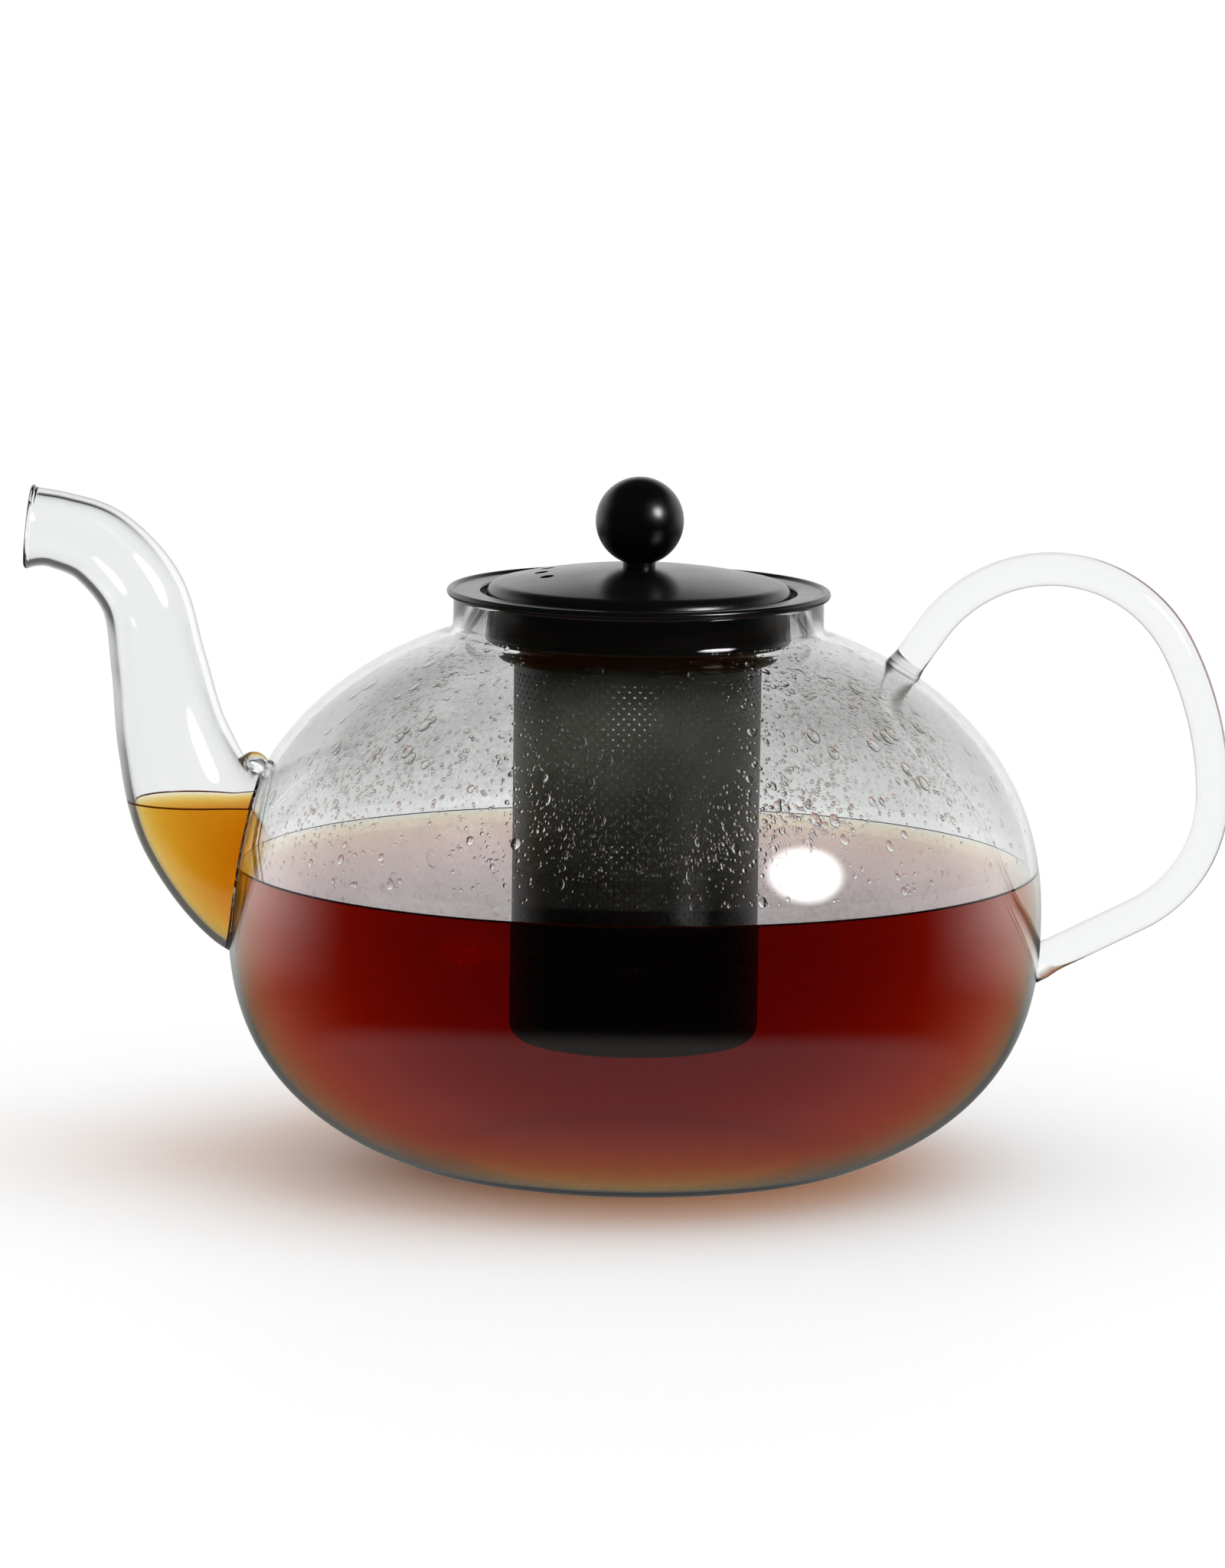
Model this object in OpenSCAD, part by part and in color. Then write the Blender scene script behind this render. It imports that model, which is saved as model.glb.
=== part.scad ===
// Glass teapot with a removable steel infuser and a lid.
// Origin: on the bowl's axis, at the plane it stands on. The spout points to -X,
// the handle to +X, and +Z is up. All sizes are in millimetres.

/* [Bowl] */
// Outer diameter of the bowl at its widest
bowl_d = 185; // [150:1:230]
// Height of the widest point above the table
equator_z = 57.8; // [46:0.2:70]
// Height from the widest point to the crown that the shoulder curve aims at
shoulder_h = 70; // [58:1:84]
// How far the lower curve would reach below the table if the foot weren't flattened
foot_sink = 5; // [4:0.5:8]
// Fullness of the shoulder curve, where 2 is an ellipse
shoulder_fullness = 2.2; // [2:0.05:2.6]
// Fullness of the lower curve, where 2 is an ellipse
lower_fullness = 2.5; // [2:0.05:3]
// Thickness of the glass in the bowl and the neck
glass_wall = 2; // [1.5:0.1:3]
// Thickness of the glass in the foot
foot_wall = 2.6; // [2:0.1:4]

/* [Neck] */
// Outer diameter of the neck
neck_d = 84; // [70:1:101]
// Height of the neck's straight part above its fillet
neck_h = 6.6; // [4:0.2:14]
// Radius of the fillet between the shoulder and the neck
neck_fillet = 2.5; // [1.5:0.1:4]

/* [Spout] */
// Outer radius of the spout where it leaves the bowl
spout_root_r = 22.5; // [18:0.5:27]
// Outer radius of the spout at its narrowest
spout_tip_r = 8.5; // [7:0.1:12]
// Thickness of the glass in the spout
spout_wall = 1.7; // [1.2:0.1:2.5]
// How far the mouth stands out from the widest part of the bowl
spout_reach = 45.2; // [36:0.2:60]
// Height of the middle of the root above the bowl's widest point
spout_root_dz = 11; // [4:1:16]
// Height of the mouth's centre above the middle of the root
spout_rise = 75.2; // [60:0.2:94]
// How much the lip flares beyond the narrowest radius
lip_flare = 1.1; // [0:0.1:2]

/* [Handle] */
// Diameter of the handle's glass rod
rod_d = 7.6; // [6:0.1:10]
// Radius of the upper bend, at the rod's centre line
upper_bend_r = 32.6; // [26:0.2:40]
// Radius of the long outer bend
outer_bend_r = 74; // [60:1:90]
// Radius of the lower bend
lower_bend_r = 30; // [24:0.5:36]
// How far the upper bend's centre stands out from the widest part of the bowl
upper_bend_dx = 1; // [0:0.5:8]
// Height of the upper bend's centre above the bowl's widest point
upper_bend_dz = 46.9; // [38:0.1:58]
// Radius of the gather of glass at each end of the handle
gather_r = 5; // [4.4:0.1:7.5]

/* [Infuser] */
// Width of the flat floor between the collar's bend and the lip that holds the tube
collar_floor_w = 0; // [0:0.5:8]
// Thickness of the perforated sheet
tube_sheet = 0.5; // [0.4:0.1:1]
// Thickness of the sheet that the collar is pressed from
collar_sheet = 0.7; // [0.5:0.1:1]
// How far the basket hangs below the neck's rim
basket_depth = 102.2; // [70:0.2:108]
// How far the flange reaches past the neck's outer wall
flange_overhang = 1.5; // [0.8:0.1:4]
// Radius of the rolled edge
rolled_edge_r = 0.9; // [0.7:0.1:1.4]
// Gap between the recess's wall and the inside of the neck, all round
neck_gap = 3.4; // [1:0.1:8]
// Depth of that recess below the flange's upper face
recess_h = 2.15; // [1.5:0.05:4]
// Width of the ledge that the lid rests on
ledge_w = 2; // [1.6:0.1:3]
// Height of the collar's straight wall and bend below the ledge
collar_h = 14.2; // [11:0.2:18]
// Outer radius of the bend at the collar's lower end
collar_bend_r = 5.9; // [3:0.1:7]
// Height of the lip that holds the tube
socket_h = 2.5; // [1.5:0.1:5]
// Outer radius of the bend that turns the tube in at its lower end
basket_bend_r = 4; // [2:0.2:8]
// Width of the tube's turned-in edge beyond that bend
basket_lip_w = 2; // [1:0.2:6]

/* [Lid] */
// Gap between the lid's rim and the recess, all round
lid_gap = 1.4; // [0.3:0.1:1.7]
// Thickness of the lid's sheet
lid_sheet = 0.7; // [0.5:0.1:1]
// Radius that the dome is pressed to
dome_r = 142; // [90:0.5:200]
// Radius of the bend between the dome and the turned-down rim
rim_bend_r = 3; // [1:0.1:5]
// Height of the turned-down rim below the bend
rim_h = 1; // [0.5:0.1:3]
// How far the skirt reaches below the lid's rim
skirt_h = 6.5; // [4:0.5:9]
// Thickness of the skirt
skirt_sheet = 0.5; // [0.4:0.1:1]
// Gap between the skirt and the collar, all round
skirt_gap = 0.6; // [0.3:0.1:1.2]
// Diameter of a steam vent
vent_d = 3.2; // [2:0.1:5]
// Turn from one vent to the next, on their circle
vent_turn = 20; // [15:1:40]
// How far the vents' circle stands in from the lid's rim
vents_in = 12.4; // [6:0.1:18]

/* [Knob] */
// Diameter of the ball
ball_d = 20; // [16:0.5:26]
// Height of the gap between the dome and the underside of the ball
ball_lift = 0.3; // [0.2:0.1:5]
// Diameter of the spacer under the ball
stem_d = 7.4; // [6:0.1:9]
// Diameter of the screw's shank
screw_d = 4; // [3:0.5:5]
// Depth that the screw is turned into the ball
screw_grip = 9; // [6:0.5:12]
// Outer diameter of the washer
washer_d = 11; // [9:0.5:14]
// Thickness of the washer
washer_t = 0.9; // [0.6:0.1:1.5]

/* [Tea] */
// Height of the tea in the bowl
tea_z = 68.8; // [35:0.2:80]
// Height of the tea in the spout
spout_tea_z = 81.8; // [50:0.2:100]

/* [Hidden] */
$fn = 96;

// gap between the flange and the neck's rim, and between the lid and its ledge
seat_gap = 0.15;
// gap round the screw in the holes that it only passes through
screw_clearance = 0.2;
// gap between the tea and the infuser, which lifts out through it
tea_clearance = 0.4;
// half the height over which the foot's curve flattens out
foot_blend = 2.5;
// turn of the fillet between the neck and the shoulder
fillet_turn = 70;
// points along each curved quarter of the bowl, along each small bend, and along the dome
curve_steps = 22;
bend_steps = 8;
dome_steps = 14;
// how far a cutting solid runs past the face that it cuts
cut_over = 1;

bowl_r = bowl_d / 2;
neck_r = neck_d / 2;
rod_r = rod_d / 2;

// ---------------------------------------------------------------- helpers

// Points on an arc about c, from angle a0 to a1.
function arc(c, r, a0, a1, steps) =
    [for (i = [0:steps]) let (a = a0 + (a1 - a0) * i / steps)
        [c[0] + r * cos(a), c[1] + r * sin(a)]];

// Height of a z value once the foot is flattened at floor_z.
function flattened(z, floor_z) =
    let (h = z - floor_z)
    h > foot_blend ? z :
    h < -foot_blend ? floor_z :
    floor_z + pow(h + foot_blend, 2) / (4 * foot_blend);

// A point of the curve |r/a|^n + |h/b|^n = 1 at the parameter t.
function full_curve(a, b, n, t) =
    [a * pow(cos(t), 2 / n), b * pow(sin(t), 2 / n)];

// Height of that curve above the widest point, at the radius r.
function full_curve_h(a, b, n, r) = b * pow(1 - pow(r / a, n), 1 / n);

// ---------------------------------------------------------------- bowl

// The fillet's centre, shared by both faces of the neck's root.
fillet_c_r = neck_r + neck_fillet;
fillet_c_z = equator_z + neck_fillet * sin(fillet_turn)
    + full_curve_h(bowl_r, shoulder_h, shoulder_fullness,
        fillet_c_r - neck_fillet * cos(fillet_turn));
rim_z = fillet_c_z + neck_h;
rim_r = glass_wall / 2;

// Outline of the bowl's face that lies inset inside the outer one, from the
// foot up to the neck, as points [r, z].
function bowl_face(inset, floor_z) =
    let (a = bowl_r - inset)
    let (b_low = equator_z + foot_sink - inset)
    let (b_up = shoulder_h - inset)
    let (bend = neck_fillet + inset)
    let (join_r = fillet_c_r - bend * cos(fillet_turn))
    let (join_t = acos(pow(join_r / a, shoulder_fullness / 2)))
    let (foot_share = (equator_z + foot_blend - floor_z) / b_low)
    let (foot_r = a * pow(1 - pow(foot_share, lower_fullness), 1 / lower_fullness))
    let (lower = [for (i = [0:curve_steps])
        let (p = full_curve(a, b_low, lower_fullness, 90 - 90 * i / curve_steps))
        [p[0], equator_z - p[1]]])
    let (upper = [for (i = [1:curve_steps - 1])
        let (p = full_curve(a, b_up, shoulder_fullness, join_t * i / curve_steps))
        [p[0], equator_z + p[1]]])
    concat(
        [[0, floor_z], [foot_r, floor_z]],
        [for (p = lower) if (p[1] > floor_z - foot_blend) [p[0], flattened(p[1], floor_z)]],
        upper,
        arc([fillet_c_r, fillet_c_z], bend, 180 + fillet_turn, 180, bend_steps)
    );

outer_face = bowl_face(0, 0);
inner_face = bowl_face(glass_wall, foot_wall);

// The solid that the bowl's outer face encloses, for trimming what is fused on.
module bowl_outer_solid() {
    rotate_extrude()
        polygon(concat(outer_face, [[neck_r, rim_z], [0, rim_z]]));
}

// The space inside the bowl and the neck.
module bowl_inner_solid() {
    rotate_extrude()
        polygon(concat(inner_face, [[neck_r - glass_wall, rim_z], [0, rim_z]]));
}

module glass_body() {
    rim = arc([neck_r - rim_r, rim_z - rim_r], rim_r, 0, 180, bend_steps);
    inner_down = [for (i = [len(inner_face) - 1:-1:0]) inner_face[i]];
    color("whitesmoke", 0.35)
        difference() {
            rotate_extrude()
                polygon(concat(outer_face, rim, inner_down));
            spout_bore();
        }
}

// ---------------------------------------------------------------- spout

// The spout's course. Each row gives how far out and how far up it has come, as
// shares of spout_reach and spout_rise, and how much of the root's extra radius
// is left. The first two rows lie inside the bowl, so they are set in mm from
// the bowl's widest part and from the root's middle.
spout_inside = [[-27, -6, 1], [-8.5, 0, 1]];
spout_outside = [
    [0.122, 0.132, 0.56], [0.275, 0.346, 0.32], [0.356, 0.585, 0.17],
    [0.438, 0.795, 0.09], [0.641, 0.938, 0.05], [0.855, 0.99, 0.01], [1, 1, 0]
];
spout_root_z = equator_z + spout_root_dz;
spout_knots = concat(
    [for (k = spout_inside) [-bowl_r - k[0], spout_root_z + k[1], k[2]]],
    [for (k = spout_outside)
        [-bowl_r - k[0] * spout_reach, spout_root_z + k[1] * spout_rise, k[2]]]
);
spout_last = len(spout_knots) - 1;
spout_sides = 24;
spout_steps = 4;

// A smooth curve through the points of list, at i + t.
function knot(list, i) = list[max(0, min(len(list) - 1, i))];
function through(list, i, t) =
    let (a = knot(list, i - 1))
    let (b = knot(list, i))
    let (c = knot(list, i + 1))
    let (d = knot(list, i + 2))
    0.5 * (2 * b + (c - a) * t + (2 * a - 5 * b + 4 * c - d) * t * t
        + (3 * b - a - 3 * c + d) * t * t * t);

function unit(v) = v / norm(v);

// Direction of a line of points at its point i.
function heading(line, i) =
    let (a = line[max(0, i - 1)])
    let (b = line[min(len(line) - 1, i + 1)])
    unit([b[0] - a[0], b[1] - a[1]]);

// One ring of points about the station c = [x, z, radius], square to d.
function ring(c, d, sides) =
    [for (k = [0:sides - 1]) let (a = 360 * k / sides)
        [c[0] - d[1] * c[2] * cos(a), c[2] * sin(a), c[1] + d[0] * c[2] * cos(a)]];

// A solid of round sections along stations that lie in the plane of X and Z.
module sweep(stations, sides) {
    last = len(stations) - 1;
    points = [for (i = [0:last]) each ring(stations[i], heading(stations, i), sides)];
    walls = [
        for (i = [0:last - 1]) for (k = [0:sides - 1])
            let (next = (k + 1) % sides)
            [i * sides + k, i * sides + next, (i + 1) * sides + next, (i + 1) * sides + k]
    ];
    start_cap = [[for (k = [sides - 1:-1:0]) k]];
    end_cap = [[for (k = [0:sides - 1]) last * sides + k]];
    polyhedron(points = points, faces = concat(walls, start_cap, end_cap), convexity = 4);
}

// The spout's course, each point as [x, z, share of the root's extra radius].
spout_line = [
    for (i = [0:spout_last - 1])
        for (s = [0:spout_steps - 1])
            through(spout_knots, i, s / spout_steps),
    spout_knots[spout_last]
];
spout_count = len(spout_line);
lip_sharpness = 24;
function lip(i) = lip_flare * pow(i / (spout_count - 1), lip_sharpness);
function spout_r(i) =
    spout_tip_r + (spout_root_r - spout_tip_r) * max(0, spout_line[i][2]) + lip(i);

// Stations of the spout's outer face, or of the bore at a wall's depth. The
// bore runs on past the mouth, so that it opens.
function spout_stations(wall) =
    let (end = spout_line[spout_count - 1])
    let (run = cut_over * heading(spout_line, spout_count - 1))
    concat(
        [for (i = [0:spout_count - 1]) [spout_line[i][0], spout_line[i][1], spout_r(i) - wall]],
        wall > 0 ? [[end[0] + run[0], end[1] + run[1], spout_r(spout_count - 1) - wall]] : []
    );

module spout_full() {
    sweep(spout_stations(0), spout_sides);
}

module spout_bore() {
    sweep(spout_stations(spout_wall), spout_sides);
}

module spout() {
    color("whitesmoke", 0.35)
        difference() {
            spout_full();
            spout_bore();
            bowl_outer_solid();
        }
}

// ---------------------------------------------------------------- handle

upper_c = [bowl_r + upper_bend_dx, equator_z + upper_bend_dz];
// angles on the upper bend: where the straight end from the bowl runs into it,
// and where it ends
upper_start = 145;
upper_end = 28;
// length of that straight end, which reaches into the bowl
upper_len = 24;
upper_from = upper_c + upper_bend_r * [cos(upper_start), sin(upper_start)];
upper_dir = [-sin(upper_start), cos(upper_start)];
// the outer bend carries on from there and ends pointing straight down
outer_c = upper_c + (upper_bend_r - outer_bend_r) * [cos(upper_end), sin(upper_end)];
lower_c = outer_c + (outer_bend_r - lower_bend_r) * [1, 0];
// sides of the rod's section
rod_sides = 16;
// slope of the straight end that runs back to the bowl
return_slope = 26.5;
lower_end = return_slope - 90;
return_start = lower_c + lower_bend_r * [cos(lower_end), sin(lower_end)];
return_dir = [-cos(return_slope), -sin(return_slope)];
// how far past the bowl's widest radius that end is drawn, so that it reaches the glass
return_into = 12;
return_len = (return_start[0] - bowl_r) / cos(return_slope) + return_into;

// The rod's centre line, bend by bend, with its radius.
rod_points = concat(
    [upper_from + upper_len * upper_dir],
    arc(upper_c, upper_bend_r, upper_start, upper_end, 3 * bend_steps),
    arc(outer_c, outer_bend_r, upper_end, 0, bend_steps),
    arc(lower_c, lower_bend_r, 0, lower_end, bend_steps),
    [return_start + return_len * return_dir]
);
rod_stations = [
    for (i = [0:len(rod_points) - 1])
        if (i == 0 || norm(rod_points[i] - rod_points[i - 1]) > 0.01)
            [rod_points[i][0], rod_points[i][1], rod_r]
];

module handle_rod() {
    sweep(rod_stations, rod_sides);
}

module handle() {
    color("whitesmoke", 0.4)
        difference() {
            handle_rod();
            bowl_outer_solid();
        }
}

// Where the rod's centre line crosses the bowl's face, found by halving.
function shoulder_r(z) =
    bowl_r * pow(1 - pow(max(0, z - equator_z) / shoulder_h, shoulder_fullness),
        1 / shoulder_fullness);
function lower_r(z) =
    bowl_r * pow(1 - pow((equator_z - z) / (equator_z + foot_sink), lower_fullness),
        1 / lower_fullness);
function upper_point(s) = upper_from + s * upper_dir;
function upper_crossing(lo, hi, n) =
    let (mid = (lo + hi) / 2)
    let (p = upper_point(mid))
    n == 0 ? p :
    p[0] > shoulder_r(p[1]) ? upper_crossing(mid, hi, n - 1) :
    upper_crossing(lo, mid, n - 1);
function return_point(s) = return_start + s * return_dir;
function return_crossing(lo, hi, n) =
    let (mid = (lo + hi) / 2)
    let (p = return_point(mid))
    n == 0 ? p :
    p[0] > lower_r(p[1]) ? return_crossing(mid, hi, n - 1) :
    return_crossing(lo, mid, n - 1);
halvings = 20;
top_weld = upper_crossing(0, upper_len, halvings);
bottom_weld = return_crossing(0, return_len, halvings);

// The gather of glass that holds an end of the rod.
module gather(p) {
    color("whitesmoke", 0.4)
        difference() {
            translate([p[0], 0, p[1]])
                sphere(r = gather_r);
            handle_rod();
            bowl_outer_solid();
        }
}

module handle_top_weld() {
    gather(top_weld);
}

module handle_bottom_weld() {
    gather(bottom_weld);
}

// The small gather in the upper corner between the spout and the bowl: it sits
// where the spout's upper edge has come this far out of the bowl.
spout_gather_out = 2;
spout_gather_r = 3.6;
function upper_edge(i) =
    let (d = heading(spout_line, i))
    [spout_line[i][0] + d[1] * spout_r(i), spout_line[i][1] - d[0] * spout_r(i)];
upper_edges = [for (i = [0:spout_count - 1]) upper_edge(i)];
edges_outside = [for (p = upper_edges) if (-p[0] > shoulder_r(p[1]) + spout_gather_out) p];
spout_corner = edges_outside[0];

module spout_weld() {
    color("whitesmoke", 0.4)
        difference() {
            translate([spout_corner[0], 0, spout_corner[1]])
                sphere(r = spout_gather_r);
            spout_full();
            bowl_outer_solid();
        }
}

// ---------------------------------------------------------------- infuser

flange_z = rim_z + seat_gap;
flange_top = flange_z + collar_sheet;
flange_r = neck_r + flange_overhang;
// the recess stands clear of the neck, and the collar and the tube step in from it
recess_r = neck_r - glass_wall - neck_gap - collar_sheet;
ledge_z = flange_top - recess_h;
collar_in_r = recess_r - ledge_w;
collar_out_r = collar_in_r + collar_sheet;
collar_floor = ledge_z - collar_h;
bend_c_r = collar_out_r - collar_bend_r;
bend_c_z = collar_floor + collar_bend_r;
tube_r = bend_c_r - collar_sheet - collar_floor_w;
edge_c = [flange_r - rolled_edge_r, flange_z + collar_sheet / 2];
edge_half = asin(collar_sheet / 2 / rolled_edge_r);
basket_floor = rim_z - basket_depth;

module infuser_collar() {
    outline = concat(
        [[tube_r, collar_floor]],
        arc([bend_c_r, bend_c_z], collar_bend_r, -90, 0, bend_steps),
        [[collar_out_r, ledge_z - collar_sheet],
         [recess_r + collar_sheet, ledge_z - collar_sheet],
         [recess_r + collar_sheet, flange_z]],
        arc(edge_c, rolled_edge_r, 180 + edge_half, 540 - edge_half, 3 * bend_steps),
        [[recess_r, flange_top], [recess_r, ledge_z], [collar_in_r, ledge_z]],
        arc([bend_c_r, bend_c_z], collar_bend_r - collar_sheet, 0, -90, bend_steps),
        [[tube_r + collar_sheet, collar_floor + collar_sheet],
         [tube_r + collar_sheet, collar_floor + socket_h],
         [tube_r, collar_floor + socket_h]]
    );
    color([0.09, 0.09, 0.1])
        rotate_extrude()
            polygon(outline);
}

basket_base_r = tube_r - basket_bend_r - basket_lip_w;
basket_bend_c = [tube_r - basket_bend_r, basket_floor + basket_bend_r];

module infuser_tube() {
    outline = concat(
        [[basket_base_r, basket_floor]],
        arc(basket_bend_c, basket_bend_r, -90, 0, bend_steps),
        [[tube_r, collar_floor + socket_h],
         [tube_r - tube_sheet, collar_floor + socket_h]],
        arc(basket_bend_c, basket_bend_r - tube_sheet, 0, -90, bend_steps),
        [[basket_base_r, basket_floor + tube_sheet]]
    );
    color([0.2, 0.2, 0.21])
        rotate_extrude()
            polygon(outline);
}

module infuser_base() {
    color([0.16, 0.16, 0.17])
        translate([0, 0, basket_floor])
            cylinder(r = basket_base_r, h = tube_sheet);
}

// ---------------------------------------------------------------- lid

lid_r = recess_r - lid_gap;
lid_z = ledge_z + seat_gap;
rim_bend_c = [lid_r - rim_bend_r, lid_z + rim_h];
dome_c_z = rim_bend_c[1] - sqrt(pow(dome_r - rim_bend_r, 2) - pow(rim_bend_c[0], 2));
dome_edge = acos(rim_bend_c[0] / (dome_r - rim_bend_r));
dome_top = dome_c_z + dome_r;
hole_r = screw_d / 2 + screw_clearance;
// three vents on a circle about the lid's axis, the middle one on the spout's side
vents_r = lid_r - vents_in;
vent_turns = [-vent_turn, 0, vent_turn];

// Everything that lies under the dome's lower face.
module under_dome() {
    rotate_extrude()
        polygon(concat([[0, 0], [lid_r - lid_sheet, 0]],
            arc(rim_bend_c, rim_bend_r - lid_sheet, 0, dome_edge, bend_steps),
            arc([0, dome_c_z], dome_r - lid_sheet, dome_edge, 90, dome_steps)));
}

module lid_dome() {
    outline = concat(
        [[lid_r, lid_z]],
        arc(rim_bend_c, rim_bend_r, 0, dome_edge, bend_steps),
        arc([0, dome_c_z], dome_r, dome_edge, 90, dome_steps),
        arc([0, dome_c_z], dome_r - lid_sheet, 90, dome_edge, dome_steps),
        arc(rim_bend_c, rim_bend_r - lid_sheet, dome_edge, 0, bend_steps),
        [[lid_r - lid_sheet, lid_z]]
    );
    color([0.06, 0.06, 0.065])
        difference() {
            rotate_extrude()
                polygon(outline);
            translate([0, 0, dome_top / 2])
                cylinder(r = hole_r, h = dome_top);
            for (turn = vent_turns)
                rotate([0, 0, turn])
                    translate([-vents_r, 0, dome_top / 2])
                        cylinder(d = vent_d, h = dome_top);
        }
}

skirt_r = collar_in_r - skirt_gap;

module lid_skirt() {
    color([0.12, 0.12, 0.13])
        intersection() {
            under_dome();
            translate([0, 0, lid_z - skirt_h])
                difference() {
                    cylinder(r = skirt_r, h = dome_top);
                    translate([0, 0, -cut_over])
                        cylinder(r = skirt_r - skirt_sheet, h = dome_top + 2 * cut_over);
                }
        }
}

ball_r = ball_d / 2;
ball_z = dome_top + ball_lift + ball_r;
// height at which the spacer's edge meets the ball
stem_top = ball_z - sqrt(pow(ball_r, 2) - pow(stem_d / 2, 2));
screw_tip = ball_z - ball_r + screw_grip;

module knob_ball() {
    color([0.05, 0.05, 0.055])
        difference() {
            translate([0, 0, ball_z])
                sphere(r = ball_r);
            translate([0, 0, ball_z - ball_r - cut_over])
                cylinder(d = screw_d, h = screw_grip + cut_over);
        }
}

module knob_stem() {
    color([0.05, 0.05, 0.055])
        difference() {
            translate([0, 0, dome_top - lid_sheet])
                cylinder(d = stem_d, h = stem_top - dome_top + lid_sheet);
            rotate_extrude()
                polygon(concat([[0, 0], [dome_r * cos(dome_edge), 0]],
                    arc([0, dome_c_z], dome_r, dome_edge, 90, dome_steps)));
            translate([0, 0, ball_z])
                sphere(r = ball_r);
            cylinder(r = hole_r, h = ball_z);
        }
}

// the washer bears on the dome's lower face at its outer edge
washer_z = dome_c_z + sqrt(pow(dome_r - lid_sheet, 2) - pow(washer_d / 2, 2)) - washer_t;

module knob_washer() {
    color([0.6, 0.6, 0.62])
        translate([0, 0, washer_z])
            difference() {
                cylinder(d = washer_d, h = washer_t);
                translate([0, 0, -cut_over])
                    cylinder(r = hole_r, h = washer_t + 2 * cut_over);
            }
}

// proportions of a pan head with a cross recess, as shares of the shank's diameter
head_r = screw_d * 0.95;
head_h = screw_d * 0.6;
slot_w = screw_d * 0.22;
slot_len = screw_d * 1.33;

module knob_screw() {
    color([0.55, 0.55, 0.57])
        difference() {
            union() {
                translate([0, 0, washer_z - head_h])
                    cylinder(r = head_r, h = head_h);
                translate([0, 0, washer_z - head_h / 2])
                    cylinder(d = screw_d, h = screw_tip - washer_z + head_h / 2);
            }
            for (turn = [0, 90])
                rotate([0, 0, turn])
                    translate([-slot_len / 2, -slot_w / 2, washer_z - head_h - cut_over])
                        cube([slot_len, slot_w, cut_over + head_h / 2]);
        }
}

// ---------------------------------------------------------------- tea

module tea() {
    color([0.45, 0.03, 0.02], 0.85)
        difference() {
            bowl_inner_solid();
            translate([-bowl_d, -bowl_d, tea_z])
                cube([2 * bowl_d, 2 * bowl_d, rim_z]);
            translate([0, 0, basket_floor - tea_clearance])
                cylinder(r = tube_r + tea_clearance, h = rim_z);
        }
}

module spout_tea() {
    color([0.8, 0.35, 0.1], 0.7)
        difference() {
            spout_bore();
            bowl_inner_solid();
            translate([-2 * bowl_d, -bowl_d, spout_tea_z])
                cube([2 * bowl_d, 2 * bowl_d, 2 * spout_rise]);
        }
}

glass_body();
spout();
handle();
handle_top_weld();
handle_bottom_weld();
spout_weld();
infuser_collar();
infuser_tube();
infuser_base();
lid_dome();
lid_skirt();
knob_ball();
knob_stem();
knob_washer();
knob_screw();
tea();
spout_tea();
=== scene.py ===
# %% [markdown]
# # A glass teapot with a steel infuser
# The pot is blown and lampworked borosilicate glass, so nearly everything that
# shows is either clear glass, what stands behind it, or a reflection in it. The
# work is in three parts: glass walls with a real thickness, black steel with
# the soft gloss of a baked coating, and tea that gets darker with depth. All
# lengths are in metres, on the frame's own axes.

import math
import random

import bmesh
import bpy
import numpy as np
from mathutils import Matrix, Vector


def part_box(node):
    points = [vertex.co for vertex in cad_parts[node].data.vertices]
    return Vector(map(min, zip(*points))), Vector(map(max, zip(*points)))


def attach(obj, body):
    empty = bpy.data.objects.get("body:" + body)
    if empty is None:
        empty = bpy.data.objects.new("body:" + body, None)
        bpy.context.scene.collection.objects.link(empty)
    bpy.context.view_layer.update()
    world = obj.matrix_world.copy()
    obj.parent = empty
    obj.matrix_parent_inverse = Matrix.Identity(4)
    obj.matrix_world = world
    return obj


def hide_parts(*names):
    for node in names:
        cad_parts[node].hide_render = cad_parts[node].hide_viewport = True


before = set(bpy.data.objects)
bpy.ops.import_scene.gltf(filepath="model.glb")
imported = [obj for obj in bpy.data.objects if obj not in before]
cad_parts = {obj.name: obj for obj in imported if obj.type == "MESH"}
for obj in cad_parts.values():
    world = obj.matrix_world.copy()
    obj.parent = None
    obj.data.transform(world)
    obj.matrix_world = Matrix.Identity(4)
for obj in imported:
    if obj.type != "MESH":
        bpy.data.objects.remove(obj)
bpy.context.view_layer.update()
MM = 0.001

# %% [markdown]
# ## Sizes read from the frame
# Each visible piece is built where the frame has it. The boxes of the frame's
# nodes give the radii and heights that everything else hangs on. What a box
# can't tell, such as a wall or a fillet, is a value of its own here, with the
# same size as in the frame, so that the two models agree.

# %% Sizes of the glass
BOWL_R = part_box("glass_body")[1].x
RIM_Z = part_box("glass_body")[1].z
EQUATOR_Z = 57.8 * MM
SHOULDER_H = 70 * MM
FOOT_SINK = 5 * MM
SHOULDER_FULLNESS = 2.2
LOWER_FULLNESS = 2.5
GLASS_WALL = 2 * MM
FOOT_WALL = 2.6 * MM
FOOT_BLEND = 2.5 * MM
NECK_FILLET = 2.5 * MM
FILLET_TURN = math.radians(70)
FLANGE_OVERHANG = 1.5 * MM
FLANGE_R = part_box("infuser_collar")[1].x
NECK_R = FLANGE_R - FLANGE_OVERHANG
TEA_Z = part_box("tea")[1].z
SPOUT_TEA_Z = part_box("spout_tea")[1].z
print(f"bowl {BOWL_R / MM:.1f}, neck {NECK_R / MM:.1f} mm")
print(f"rim at {RIM_Z / MM:.1f}, tea at {TEA_Z / MM:.1f} mm")

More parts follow.
